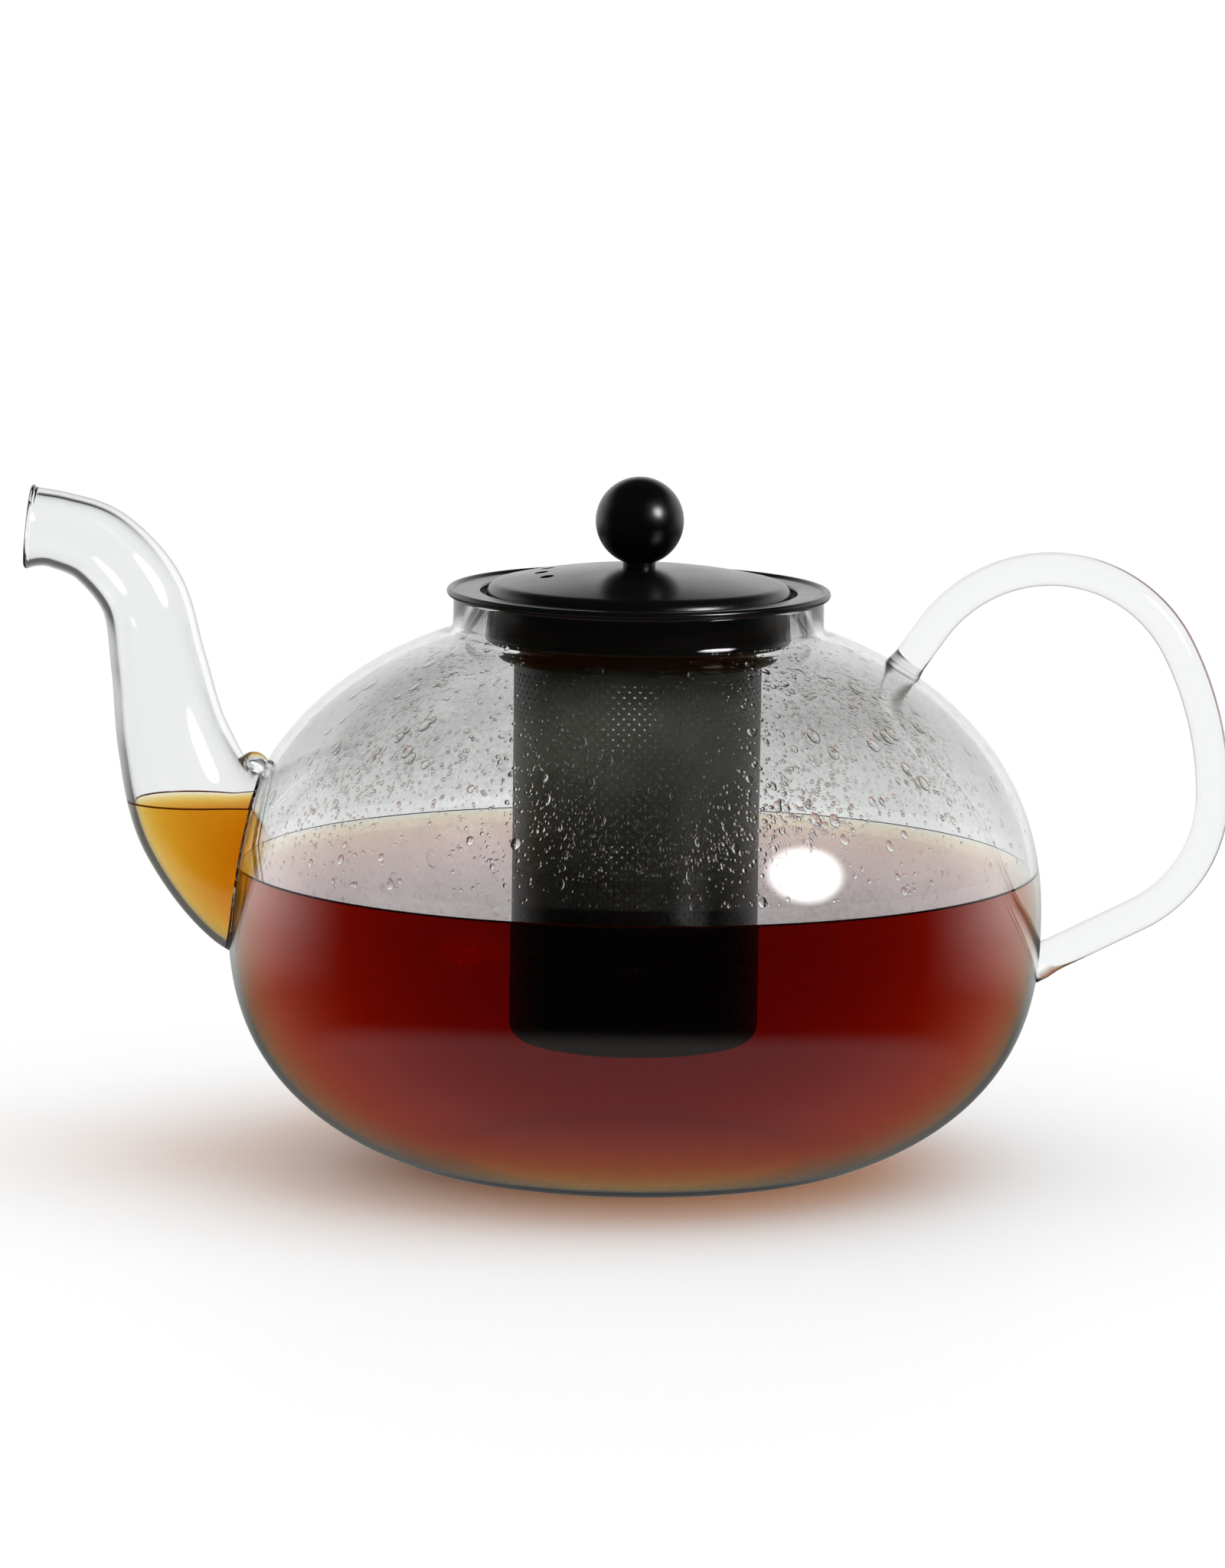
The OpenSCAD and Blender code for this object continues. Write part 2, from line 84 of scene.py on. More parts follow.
# %% Sizes of the steel
TUBE_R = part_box("infuser_tube")[1].x
TUBE_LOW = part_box("infuser_tube")[0].z
TUBE_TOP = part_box("infuser_tube")[1].z
COLLAR_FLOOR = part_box("infuser_collar")[0].z
LID_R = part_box("lid_dome")[1].x
LID_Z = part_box("lid_dome")[0].z
DOME_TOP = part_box("lid_dome")[1].z
BALL_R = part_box("knob_ball")[1].x
BALL_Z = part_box("knob_ball")[1].z - BALL_R
print(f"tube {TUBE_R / MM:.1f}, lid {LID_R / MM:.1f}, ball {BALL_R / MM:.1f} mm")

# %% [markdown]
# ## Tools for surfaces
# A potter's wheel, a glass lathe and a metal-spinning lathe all make surfaces
# of revolution, and a bent tube is the same thing along a curved line. So one
# function skins a stack of rings, and the lathe and the sweep only place them.

# %% A skin over rings of points
REAL_EDGE = 40


def finish_mesh(name, mesh, sharp=REAL_EDGE):
    """Turn the faces outward, shade them smooth but for real edges, and make the
    object."""
    bm = bmesh.new()
    bm.from_mesh(mesh)
    bmesh.ops.recalc_face_normals(bm, faces=bm.faces)
    bm.to_mesh(mesh)
    bm.free()
    mesh.polygons.foreach_set("use_smooth", [True] * len(mesh.polygons))
    mesh.set_sharp_from_angle(angle=math.radians(sharp))
    piece = bpy.data.objects.new(name, mesh)
    bpy.context.scene.collection.objects.link(piece)
    return piece


def skin(name, rings, loop=False):
    """Join rings of points into one surface. A ring of one point is a pole."""
    points, index = [], []
    for ring in rings:
        index.append(range(len(points), len(points) + len(ring)))
        points.extend(ring)
    faces = []
    for a, b in zip(index, index[1:] + (index[:1] if loop else [])):
        for k in range(max(len(a), len(b))):
            n = k + 1
            corners = (a[k % len(a)], a[n % len(a)], b[n % len(b)], b[k % len(b)])
            face = list(dict.fromkeys(corners))
            if len(face) > 2:
                faces.append(face)
    mesh = bpy.data.meshes.new(name)
    mesh.from_pydata(points, [], faces)
    return finish_mesh(name, mesh)


# %% The lathe
NOTHING = 1e-7


def circle(r, z, steps):
    """A ring about the Z axis, or a pole where the radius is nothing."""
    if r < NOTHING:
        return [(0, 0, z)]
    turn = 2 * math.pi / steps
    angles = [k * turn for k in range(steps)]
    return [(r * math.cos(a), r * math.sin(a), z) for a in angles]


def lathe(name, outline, steps=160, loop=False):
    """Spin an outline of (r, z) points about the Z axis."""
    return skin(name, [circle(r, z, steps) for r, z in outline], loop)


def arc(centre, r, start, end, steps=8):
    """Points of an arc in the plane of the outline, angles in degrees."""
    angles = np.radians(np.linspace(start, end, steps + 1))
    return [(centre[0] + r * math.cos(a), centre[1] + r * math.sin(a)) for a in angles]


# %% The sweep
def headings(line):
    """Unit directions of a line of (x, z) points."""
    steps = np.gradient(np.array(line, float), axis=0)
    return steps / np.linalg.norm(steps, axis=1)[:, None]


def cross_ring(point, heading, r, sides):
    """A ring about an (x, z) point in the plane y = 0, square to the heading."""
    turn = 2 * math.pi / sides
    return [
        (
            point[0] - heading[1] * r * math.cos(k * turn),
            r * math.sin(k * turn),
            point[1] + heading[0] * r * math.cos(k * turn),
        )
        for k in range(sides)
    ]


# %% [markdown]
# ## Tools for joining and cutting
# Where two pieces of glass were fused, one has to end exactly in the other's
# wall. It could be modelled by moving vertices, but a boolean cut with the
# other piece's own shape gives the true line. It is applied at once, so each
# piece ends up as plain faces. Then every piece is hung on the body it moves
# with, which is what makes the model take apart as the real one does.

# %% Cutting one solid with another
def cut(piece, tool):
    """Take the tool's shape out of a piece, then remove the tool."""
    change = piece.modifiers.new("cut", "BOOLEAN")
    change.operation = "DIFFERENCE"
    change.solver = "EXACT"
    change.object = tool
    graph = bpy.context.evaluated_depsgraph_get()
    mesh = bpy.data.meshes.new_from_object(piece.evaluated_get(graph))
    piece.modifiers.clear()
    piece.data = mesh
    mesh.polygons.foreach_set("use_smooth", [True] * len(mesh.polygons))
    mesh.set_sharp_from_angle(angle=math.radians(REAL_EDGE))
    bpy.data.objects.remove(tool)
    return piece


# %% Hanging a piece on its body
def place(piece, body, slot, material, *nodes):
    """Hang a piece on its body, give it its material, and hide the nodes it stands for. The slot
    is not used.
    """
    piece.data.materials.clear()
    piece.data.materials.append(material)
    if nodes:
        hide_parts(*nodes)
    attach(piece, body)
    print(f"{piece.name}: {len(piece.data.polygons)} faces, rides on {body}")
    return piece


# %% [markdown]
# ## Tools for materials
# Colours are written as sRGB hex, the way a paint or glass sample is read, and
# one function turns them to the linear values that the renderer works in.

# %% Colours and nodes
def colour(hex_code):
    """sRGB hex to linear RGBA."""
    channels = [int(hex_code[i : i + 2], 16) / 255 for i in (1, 3, 5)]
    linear = [
        c / 12.92 if c <= 0.04045 else ((c + 0.055) / 1.055) ** 2.4 for c in channels
    ]
    return (*linear, 1.0)


def add(tree, kind, inputs=None, **settings):
    """Add a node. An input is a value, or an output to link from."""
    made = tree.nodes.new(kind)
    for key, value in settings.items():
        setattr(made, key, value)
    for key, value in (inputs or {}).items():
        if isinstance(value, bpy.types.NodeSocket):
            tree.links.new(value, made.inputs[key])
        else:
            made.inputs[key].default_value = value
    return made


def principled(name, inputs):
    """A material of one Principled shader, with its tree, shader and output."""
    material = bpy.data.materials.new(name)
    material.use_nodes = True
    tree = material.node_tree
    tree.nodes.clear()
    shader = add(tree, "ShaderNodeBsdfPrincipled", inputs)
    out = add(tree, "ShaderNodeOutputMaterial", {"Surface": shader.outputs["BSDF"]})
    return material, tree, shader, out


# %% [markdown]
# ## Borosilicate glass, blown and flame polished
# Fire-polished glass has no texture at all: its roughness is zero, and the
# index of refraction of borosilicate is 1.47. What shows is its edge. Seen
# edge-on, a clear wall bends the view round to the dark side of the room and
# turns grey. The bending alone gives a thin line, so a facing weight paints a
# little grey shade into the glass colour over the last few degrees before the
# outline.

# %% Glass
BOROSILICATE_IOR = 1.47
CLEAR_UNTIL, PAINTED_EDGE_SHADE_FROM = 0.62, 0.97


def make_glass():
    material, tree, shader, _ = principled(
        "borosilicate_blown_flame_polished",
        {"Roughness": 0.0, "IOR": BOROSILICATE_IOR, "Transmission Weight": 1.0},
    )
    facing = add(tree, "ShaderNodeLayerWeight", {"Blend": 0.5})
    # painted shade: the glass colour turns grey towards the outline, standing in for the dark
    # room seen edge-on
    edge = add(tree, "ShaderNodeValToRGB", {"Fac": facing.outputs["Facing"]})
    ramp = edge.color_ramp
    ramp.elements[0].position = CLEAR_UNTIL
    ramp.elements[0].color = colour("#fdfefe")
    ramp.elements[1].position = PAINTED_EDGE_SHADE_FROM
    ramp.elements[1].color = colour("#c6cbc8")
    tree.links.new(edge.outputs["Color"], shader.inputs["Base Color"])
    return material


glass = make_glass()

# %% [markdown]
# ## Black tea and water
# Tea takes out blue first, then green, then red. A painted colour would look
# the same in the spout and the bowl, so it is an absorption, which works over
# the depth: amber through the narrow spout and deep red through the bowl.
# At 165 per metre, nearly all blue is gone after 3 cm. Real tea has an index
# of 1.33, which would swell the basket in it by a third. The basket keeps its
# width here, so the tea's body hardly bends light, and a thin sheet on top
# gives the mirror of a real water surface. A drop on glass is flat and bends
# the view less than a ball would, so its index is lower than water's too.

# %% Tea
WATER_IOR, DROP_IOR, TEA_BODY_IOR = 1.33, 1.13, 1.01
# the share of red, green and blue that the absorption lets by, and its strength
TEA_LETS_BY, TEA_PER_METRE = (0.91, 0.71, 0.0, 1.0), 165.0


def make_tea():
    material, tree, _, out = principled(
        "black_tea_brewed",
        {"Base Color": colour("#ffffff"), "Roughness": 0.0, "IOR": TEA_BODY_IOR,
         "Transmission Weight": 1.0},
    )
    depth = add(
        tree, "ShaderNodeVolumeAbsorption",
        {"Color": TEA_LETS_BY, "Density": TEA_PER_METRE},
    )
    tree.links.new(depth.outputs["Volume"], out.inputs["Volume"])
    return material


def make_water(name, ior):
    return principled(
        name,
        {"Base Color": colour("#ffffff"), "Roughness": 0.0, "IOR": ior,
         "Transmission Weight": 1.0},
    )[0]


tea_liquid = make_tea()
water_surface = make_water("tea_surface_still", WATER_IOR)
water_drop = make_water("condensed_water_drop", DROP_IOR)


# %% [markdown]
# ## Mist
# Steam leaves a mist of drops far too small to model one by one, so a grey
# film stands for them, and it covers only a share of each spot: little right
# above the warm tea, most of it higher up, and next to none near the neck,
# where the glass has dried. Two noises break it up. The patches are about
# 26 mm wide, and the grain is about 1 mm, coarser than real mist, so that it
# shows.

# %% Fog
# one over the width of a patch and of a grain, in metres
MIST_PATCH, MIST_GRAIN = 38.0, 900.0
# heights above the tea between which the mist sets in, and dries off
MIST_RISES, MIST_DRIES = (6 * MM, 34 * MM), (40 * MM, 51 * MM)


def make_fog():
    """Mist too fine to see as drops: it greys what lies behind it, in patches."""
    material, tree, shader, _ = principled(
        "condensation_mist",
        {"Base Color": colour("#75766b"), "Roughness": 0.6, "IOR": WATER_IOR,
         "Specular IOR Level": 0.2},
    )
    where = add(tree, "ShaderNodeTexCoord").outputs["Object"]
    height = add(tree, "ShaderNodeSeparateXYZ", {"Vector": where}).outputs["Z"]
    patches = add(
        tree, "ShaderNodeTexNoise", {"Vector": where, "Scale": MIST_PATCH, "Detail": 3.0},
    )
    grains = add(
        tree, "ShaderNodeTexNoise", {"Vector": where, "Scale": MIST_GRAIN, "Detail": 2.0},
    )
    band = add(
        tree, "ShaderNodeMapRange",
        {"Value": height, "From Min": TEA_Z + MIST_RISES[0],
         "From Max": TEA_Z + MIST_RISES[1], "To Min": 0.25, "To Max": 1.0},
        interpolation_type="SMOOTHSTEP",
    )
    patchy = add(
        tree, "ShaderNodeMapRange",
        {"Value": patches.outputs["Fac"], "From Min": 0.35, "From Max": 0.7,
         "To Min": 0.16, "To Max": 0.42},
    )
    grainy = add(
        tree, "ShaderNodeMapRange",
        {"Value": grains.outputs["Fac"], "From Min": 0.3, "From Max": 0.7,
         "To Min": 0.8, "To Max": 1.15},
    )
    dry = add(
        tree, "ShaderNodeMapRange",
        {"Value": height, "From Min": TEA_Z + MIST_DRIES[0],
         "From Max": TEA_Z + MIST_DRIES[1], "To Min": 1.0, "To Max": 0.04},
        interpolation_type="SMOOTHSTEP",
    )
    wet = add(
        tree, "ShaderNodeMath",
        {0: band.outputs["Result"], 1: dry.outputs["Result"]}, operation="MULTIPLY",
    )
    share = add(
        tree, "ShaderNodeMath",
        {0: wet.outputs["Value"], 1: patchy.outputs["Result"]}, operation="MULTIPLY",
    )
    alpha = add(
        tree, "ShaderNodeMath",
        {0: share.outputs["Value"], 1: grainy.outputs["Result"]}, operation="MULTIPLY",
    )
    tree.links.new(alpha.outputs["Value"], shader.inputs["Alpha"])
    return material


fog = make_fog()


# %% [markdown]
# ## Black coated steel
# The lid, the flange and the collar are pressed stainless steel with a baked
# black coating. It has a satin gloss: reflections show, with soft edges. A very
# fine orange peel comes from the sprayed powder, about 0.4 mm from crest to
# crest, and handling wears the gloss unevenly over some centimetres. One
# recipe serves the three black finishes, because they differ only in how dark
# and how rough they are: the coated pressings, the etched sheet, whose coating
# is duller, and the ball, which is moulded phenolic resin and polished.

# %% Coated steel
COATING_IOR = 1.5
PEEL, PEEL_STRENGTH = 0.4 * MM, 0.02
RELIEF = 0.02 * MM
WEAR_SCALE, WEAR = 60.0, 0.15


def make_coated(name, base, roughness):
    """A black coating: satin, a little uneven, with a fine orange peel."""
    material, tree, shader, _ = principled(
        name, {"Base Color": colour(base), "IOR": COATING_IOR, "Metallic": 0.0},
    )
    where = add(tree, "ShaderNodeTexCoord").outputs["Object"]
    wear = add(
        tree, "ShaderNodeTexNoise", {"Vector": where, "Scale": WEAR_SCALE, "Detail": 4.0},
    )
    rough = add(
        tree, "ShaderNodeMapRange",
        {"Value": wear.outputs["Fac"], "From Min": 0.3, "From Max": 0.7,
         "To Min": roughness * (1 - WEAR), "To Max": roughness * (1 + WEAR)},
    )
    grain = add(
        tree, "ShaderNodeTexNoise", {"Vector": where, "Scale": 1 / PEEL, "Detail": 1.0},
    )
    relief = add(
        tree, "ShaderNodeBump",
        {"Height": grain.outputs["Fac"], "Strength": PEEL_STRENGTH, "Distance": RELIEF},
    )
    tree.links.new(rough.outputs["Result"], shader.inputs["Roughness"])
    tree.links.new(relief.outputs["Normal"], shader.inputs["Normal"])
    return material


coated_steel = make_coated("stainless_steel_black_powder_coated", "#060607", 0.24)
coated_mesh = make_coated("stainless_sheet_etched_black_coated", "#141415", 0.34)
phenolic = make_coated("phenolic_resin_moulded_polished", "#030304", 0.27)


# %% [markdown]
# ## Turned stainless steel
# The screw and the washer under the lid are plain stainless steel, turned on
# a lathe. The tool leaves fine rings, so their gloss is drawn out across them.
# A wave texture gives the rings, and a little relief is enough.

# %% Plain stainless steel
RING_SCALE = 900.0


def make_stainless():
    """A grey metal with fine rings from the lathe tool."""
    material, tree, shader, _ = principled(
        "stainless_steel_turned",
        {"Base Color": colour("#b9b8b4"), "Metallic": 1.0, "Roughness": 0.3},
    )
    where = add(tree, "ShaderNodeTexCoord").outputs["Object"]
    rings = add(
        tree, "ShaderNodeTexWave",
        {"Vector": where, "Scale": RING_SCALE, "Distortion": 0.4},
        wave_type="RINGS", rings_direction="Z",
    )
    relief = add(
        tree, "ShaderNodeBump",
        {"Height": rings.outputs["Fac"], "Strength": 0.08, "Distance": RELIEF},
    )
    tree.links.new(relief.outputs["Normal"], shader.inputs["Normal"])
    return material


stainless = make_stainless()

# %% [markdown]
# ## The bowl
# A gather of glass is blown out, turned in a mould and pressed flat at the foot.
# Its curve is fuller than an ellipse, so its outline is |r/a|^n + |h/b|^n = 1,
# with a softly flattened foot below and a small fillet up into the neck. The
# inner face is the same curve, set in by the wall.

# %% Outline of the bowl
FILLET_R = NECK_R + NECK_FILLET


def shoulder_height(r):
    """Height of the shoulder curve above the table, at the radius r."""
    share = 1 - (r / BOWL_R) ** SHOULDER_FULLNESS
    return EQUATOR_Z + SHOULDER_H * share ** (1 / SHOULDER_FULLNESS)


FILLET_FOOT_R = FILLET_R - NECK_FILLET * math.cos(FILLET_TURN)
FILLET_Z = shoulder_height(FILLET_FOOT_R) + NECK_FILLET * math.sin(FILLET_TURN)


def flattened(z, floor_z):
    """A height once the foot is pressed flat at floor_z."""
    h = z - floor_z
    if h > FOOT_BLEND:
        return z
    return floor_z + max(0.0, h + FOOT_BLEND) ** 2 / (4 * FOOT_BLEND)


def bowl_face(inset, floor_z, steps=56):
    """The bowl's face, inset from the outer one, from the foot up into the neck."""
    a, low, up = BOWL_R - inset, EQUATOR_Z + FOOT_SINK - inset, SHOULDER_H - inset
    bend = NECK_FILLET + inset
    join_r = FILLET_R - bend * math.cos(FILLET_TURN)
    join = math.acos((join_r / a) ** (SHOULDER_FULLNESS / 2))
    points = [(0.0, floor_z)]
    for t in np.linspace(math.pi / 2, 0, steps):
        z = EQUATOR_Z - low * math.sin(t) ** (2 / LOWER_FULLNESS)
        if z > floor_z - FOOT_BLEND:
            r = a * max(0.0, math.cos(t)) ** (2 / LOWER_FULLNESS)
            points.append((r, flattened(z, floor_z)))
    for t in np.linspace(0, join, steps)[1:-1]:
        r = a * math.cos(t) ** (2 / SHOULDER_FULLNESS)
        points.append((r, EQUATOR_Z + up * math.sin(t) ** (2 / SHOULDER_FULLNESS)))
    points += arc((FILLET_R, FILLET_Z), bend, 180 + math.degrees(FILLET_TURN), 180)
    return points


outer_face = bowl_face(0.0, 0.0)
inner_face = bowl_face(GLASS_WALL, FOOT_WALL)
half_wall = GLASS_WALL / 2
rim_round = arc((NECK_R - half_wall, RIM_Z - half_wall), half_wall, 0, 180, 12)
print(f"bowl outline: {len(outer_face)} points outside, {len(inner_face)} inside")

# %% [markdown]
# ## The spout
# The spout is a tube drawn out and bent in the flame, so it tapers quickly from
# a wide root and then hardly at all. It could be a curve with a bevel and a
# taper, but then the bore would need a second one that matches. Here a smooth
# curve through nine stations, two of them inside the bowl, carries the centre
# line and the radius together. The bore is the same curve one wall further
# in, and the lip is rounded where the two meet.

# %% Stations of the spout
SPOUT_ROOT_R, SPOUT_TIP_R, SPOUT_WALL = 22.5 * MM, 8.5 * MM, 1.7 * MM
LIP_FLARE, LIP_SHARPNESS = 1.1 * MM, 24
SPOUT_REACH, SPOUT_RISE = 45.2 * MM, 75.2 * MM
SPOUT_ROOT_Z = EQUATOR_Z + 11 * MM
SPOUT_SIDES = 72
# how far out, how far up, and how much of the root's extra radius is left
SPOUT_INSIDE = [(-27 * MM, -6 * MM, 1), (-8.5 * MM, 0, 1)]
SPOUT_SHARES = [
    (0.122, 0.132, 0.56), (0.275, 0.346, 0.32), (0.356, 0.585, 0.17),
    (0.438, 0.795, 0.09), (0.641, 0.938, 0.05), (0.855, 0.99, 0.01), (1, 1, 0),
]
spout_knots = [(-BOWL_R - x, SPOUT_ROOT_Z + z, w) for x, z, w in SPOUT_INSIDE]
spout_knots += [
    (-BOWL_R - x * SPOUT_REACH, SPOUT_ROOT_Z + z * SPOUT_RISE, w)
    for x, z, w in SPOUT_SHARES
]


def smooth_through(knots, steps):
    """A Catmull-Rom curve through the knots."""
    k = np.array([knots[0], *knots, knots[-1]], float)
    curve = []
    for i in range(len(knots) - 1):
        a, b, c, d = k[i : i + 4]
        for t in np.arange(steps) / steps:
            square = (2 * a - 5 * b + 4 * c - d) * t**2
            cube = (3 * b - a - 3 * c + d) * t**3
            curve.append(0.5 * (2 * b + (c - a) * t + square + cube))
    return np.array([*curve, k[-1]])


STEPS_A_STATION = 14
spout_curve = smooth_through(spout_knots, STEPS_A_STATION)
spout_centres = spout_curve[:, :2]
spout_headings = headings(spout_centres)
along = np.linspace(0, 1, len(spout_curve))
taper = (SPOUT_ROOT_R - SPOUT_TIP_R) * spout_curve[:, 2].clip(0)
spout_radii = SPOUT_TIP_R + taper + LIP_FLARE * along**LIP_SHARPNESS
print(f"spout: {len(spout_curve)} stations, tip {spout_radii[-1] / MM:.1f} mm")


def spout_rings(wall):
    """Rings of the spout at a wall's depth."""
    return [
        cross_ring(p, d, r - wall, SPOUT_SIDES)
        for p, d, r in zip(spout_centres, spout_headings, spout_radii)
    ]


def middle(ring):
    """The pole that closes a ring."""
    return [tuple(np.mean(ring, axis=0))]


def spout_solid(name, wall):
    """The spout's shape filled in, for cutting with."""
    rings = spout_rings(wall)
    return skin(name, [middle(rings[0]), *rings, middle(rings[-1])])


# %% [markdown]
# ## Where the spout meets the bowl
# The glassworker blows a hole in the bowl and fuses the spout's root over it.
# So the bowl is cut with the shape of the bore, and the spout with the shape
# of the bowl, sunk a millimetre, which is about how far the two run together.
# The same shape, cut off at a level, is the tea.

# %% Shapes for trimming
def bowl_solid(name, inset, floor_z, top=None):
    """The space inside one of the bowl's faces, up to the neck or to a level."""
    face = bowl_face(inset, floor_z)
    if top is None:
        face = [*face, (NECK_R - inset, RIM_Z), (0.0, RIM_Z)]
    else:
        below = [p for p in face if p[1] < top]
        edge = face[len(below)]
        last = below[-1]
        share = (top - last[1]) / (edge[1] - last[1])
        face = [*below, (last[0] + share * (edge[0] - last[0]), top), (0.0, top)]
    return lathe(name, face, 192)


# %% Blow the bowl
bowl = lathe("glass_bowl", [*outer_face, *rim_round, *reversed(inner_face)], 224)
cut(bowl, spout_solid("bore_tool", SPOUT_WALL))
place(bowl, "pot", "borosilicate_glass", glass, "glass_body")

# %% Draw the spout
# the root sinks this far into the bowl's wall, where the flame fused the two
FUSED = 1.0 * MM
lip_centre_r = spout_radii[-1] - SPOUT_WALL / 2
lip_rings = []
for angle in np.radians(np.linspace(0, 180, 9)[1:-1]):
    point = spout_centres[-1] + SPOUT_WALL / 2 * math.sin(angle) * spout_headings[-1]
    lip_r = lip_centre_r + SPOUT_WALL / 2 * math.cos(angle)
    lip_rings.append(cross_ring(point, spout_headings[-1], lip_r, SPOUT_SIDES))
inside_rings = reversed(spout_rings(SPOUT_WALL))
spout = skin("glass_spout", [*spout_rings(0), *lip_rings, *inside_rings], loop=True)
cut(spout, bowl_solid("bowl_tool", FUSED, FUSED))
place(spout, "pot", "borosilicate_glass", glass, "spout")

# %% [markdown]
# ## The handle
# The handle is a solid rod, bent hot into three arcs with a straight end on
# each side. Both ends are melted into the bowl, where the soft glass gathers
# to a small collar. Arcs and lines keep the bends as even as a former makes
# them, which a freehand curve would not, and the gather is the rod's own
# radius growing as it nears the bowl, so that there is no seam to hide.

# %% Bend the handle
ROD_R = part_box("handle")[1].y
UPPER_R, OUTER_R, LOWER_R = 32.6 * MM, 74 * MM, 30 * MM
UPPER_START, UPPER_END, RETURN_SLOPE = 145, 28, 26.5
UPPER_LENGTH, RETURN_LENGTH = 24 * MM, 34 * MM
GATHER, GATHER_LENGTH = 0.5 * MM, 1.8 * MM
UPPER_OUT, UPPER_UP = 1 * MM, 46.9 * MM
ROD_SIDES = 32


def heading_at(degrees):
    """The unit (x, z) direction at an angle from +X."""
    return np.array([math.cos(math.radians(degrees)), math.sin(math.radians(degrees))])


upper_c = np.array([BOWL_R + UPPER_OUT, EQUATOR_Z + UPPER_UP])
outer_c = upper_c + (UPPER_R - OUTER_R) * heading_at(UPPER_END)
lower_c = outer_c + np.array([OUTER_R - LOWER_R, 0])
start = math.radians(UPPER_START)
upper_end = upper_c + UPPER_R * heading_at(UPPER_START)
inwards = np.array([-math.sin(start), math.cos(start)])
rod = [tuple(upper_end + s * inwards) for s in np.linspace(UPPER_LENGTH, 0, 20)]
rod += arc(upper_c, UPPER_R, UPPER_START, UPPER_END, 44)[1:]
rod += arc(outer_c, OUTER_R, UPPER_END, 0, 26)[1:]
rod += arc(lower_c, LOWER_R, 0, RETURN_SLOPE - 90, 26)[1:]
slope = math.radians(RETURN_SLOPE)
back = np.array([-math.cos(slope), -math.sin(slope)])
return_start = np.array(rod[-1])
rod += [tuple(return_start + back * s) for s in np.linspace(0, RETURN_LENGTH, 26)[1:]]
rod = np.array(rod)


def outside_bowl(p):
    """How far an (x, z) point lies outside the bowl's outer face, roughly."""
    fullness = SHOULDER_FULLNESS if p[1] > EQUATOR_Z else LOWER_FULLNESS
    height = SHOULDER_H if p[1] > EQUATOR_Z else EQUATOR_Z + FOOT_SINK
    up = p[1] - EQUATOR_Z
    size = (abs(p[0]) / BOWL_R) ** fullness + (abs(up) / height) ** fullness
    return (size ** (1 / fullness) - 1) * np.linalg.norm([p[0], up])


clear = np.array([outside_bowl(p) for p in rod])
rod_radii = ROD_R + GATHER * np.exp(-((clear.clip(0) / GATHER_LENGTH) ** 2))
rod_headings = headings(rod)
rod_rings = [
    cross_ring(p, d, r, ROD_SIDES) for p, d, r in zip(rod, rod_headings, rod_radii)
]
handle = skin("glass_handle", [middle(rod_rings[0]), *rod_rings, middle(rod_rings[-1])])
cut(handle, bowl_solid("bowl_tool", FUSED, FUSED))
place(
    handle, "pot", "borosilicate_glass", glass,
    "handle", "handle_top_weld", "handle_bottom_weld",
)

# %% [markdown]
# ## The tea
# The liquid fills the bowl to its level and wets the glass, so its side lies
# just inside the wall: an air gap there would show as a silver line. The tea in
# the spout is the bore's own shape, cut off flat at its level.

# %% Pour the tea
WETS = 0.3 * MM
WETTED = GLASS_WALL - WETS
tea = bowl_solid("tea_in_bowl", WETTED, FOOT_WALL - WETS, TEA_Z)
place(tea, "pot", "black_tea", tea_liquid, "tea")

spout_tea = spout_solid("tea_in_spout", SPOUT_WALL - WETS)
cut(spout_tea, bowl_solid("bowl_tool", WETTED, FOOT_WALL - WETS))
far_r, far_z = 2 * BOWL_R, 2 * RIM_Z
air = lathe("air_tool", [(0, SPOUT_TEA_Z), (far_r, SPOUT_TEA_Z), (far_r, far_z), (0, far_z)], 12)
cut(spout_tea, air)
place(spout_tea, "pot", "black_tea", tea_liquid, "spout_tea")

# %% Lay the mirror on the tea
SHEET_LOW, SHEET_TOP, SHEET_IN = 0.02 * MM, 0.15 * MM, 0.2 * MM
inner_r_at_tea = max(p[0] for p in inner_face if abs(p[1] - TEA_Z) < 2 * MM)
surface_r = inner_r_at_tea - SHEET_IN
surface = lathe(
    "tea_surface",
    [(0, TEA_Z + SHEET_LOW), (surface_r, TEA_Z + SHEET_LOW),
     (surface_r, TEA_Z + SHEET_TOP), (0, TEA_Z + SHEET_TOP)],
)
place(surface, "pot", "black_tea", water_surface)

# %% [markdown]
# ## The edge of the liquid, a painted dark line
# Where a liquid meets glass it climbs a little, and that small hollow rim
# sends light away, so a dark line runs round the level. The tea's body hardly
# bends light here and can't show it, so a dark ring half a millimetre thick
# paints that shade on: deep red-black in the bowl, amber-brown in the spout.
# It follows the points where the tea was cut off level.

# %% Draw the painted dark line at the edge of the liquid
EDGE_IN_BOWL, EDGE_IN_SPOUT = 0.25 * MM, 0.22 * MM
# painted shade: dark rings without transmission stand for the light that the meniscus sends away
painted_meniscus_shade = principled(
    "black_tea_edge_painted_shade",
    {"Base Color": colour("#240402"), "Roughness": 0.1, "IOR": WATER_IOR},
)[0]
painted_spout_meniscus_shade = principled(
    "black_tea_spout_edge_painted_shade",
    {"Base Color": colour("#7a3a08"), "Roughness": 0.1, "IOR": WATER_IOR},
)[0]


